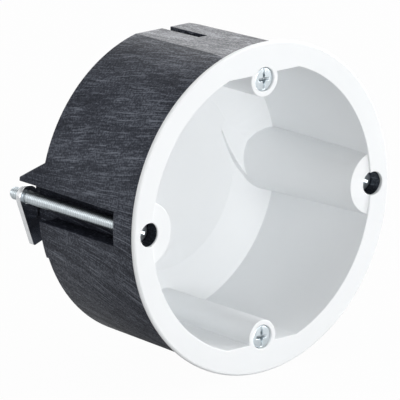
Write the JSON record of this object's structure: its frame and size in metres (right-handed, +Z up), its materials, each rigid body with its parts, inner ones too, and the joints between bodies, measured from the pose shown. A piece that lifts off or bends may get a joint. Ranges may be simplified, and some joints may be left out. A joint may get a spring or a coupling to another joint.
{
  "type": "drywall back box",
  "caption": "Round flush back box for hollow walls: a white liner in a dark jacket, with screw claws that grip behind the board and screws for the wiring device.",
  "frame": {"origin": "on the axis of the box, in the plane of the wall's face, which is the back of the rim", "axes": "+Y into the wall along the box's axis, +Z up, +X to the right seen from the room"},
  "size_m": [0.077, 0.047, 0.077],
  "materials": {
    "liner_plastic": "satin white moulding",
    "jacket_compound": "rough dark moulding with fibre streaks",
    "zinc_screw": "zinc plated",
    "claw_steel": "zinc plated stamping"
  },
  "bodies": {
    "box": {"liner": "liner_plastic", "jacket": "jacket_compound"},
    "device_screw_top": {"device_screw_top": "zinc_screw"},
    "device_screw_bottom": {"device_screw_bottom": "zinc_screw"},
    "claw_screw_left": {"claw_screw_left": "zinc_screw"},
    "claw_screw_right": {"claw_screw_right": "zinc_screw"},
    "claw_left": {"claw_left": "claw_steel"},
    "claw_right": {"claw_right": "claw_steel"}
  },
  "joints": [
    {"name": "device_screw_top_turn", "type": "hinge", "parent": "box", "child": "device_screw_top", "pos_m": [0, 0, 0.03], "axis": [0, 1, 0], "continuous": true},
    {"name": "device_screw_bottom_turn", "type": "hinge", "parent": "box", "child": "device_screw_bottom", "pos_m": [0, 0, -0.03], "axis": [0, 1, 0], "continuous": true},
    {"name": "claw_screw_left_turn", "type": "hinge", "parent": "box", "child": "claw_screw_left", "pos_m": [-0.0338, 0, 0], "axis": [0, 1, 0], "continuous": true},
    {"name": "claw_screw_right_turn", "type": "hinge", "parent": "box", "child": "claw_screw_right", "pos_m": [0.0338, 0, 0], "axis": [0, 1, 0], "continuous": true},
    {"name": "claw_left_swing", "type": "hinge", "parent": "box", "child": "claw_left", "pos_m": [-0.0338, 0.04135, 0], "axis": [0, 1, 0], "range_deg": [0, 130]},
    {"name": "claw_right_swing", "type": "hinge", "parent": "box", "child": "claw_right", "pos_m": [0.0338, 0.04135, 0], "axis": [0, 1, 0], "range_deg": [0, 130]}
  ]
}
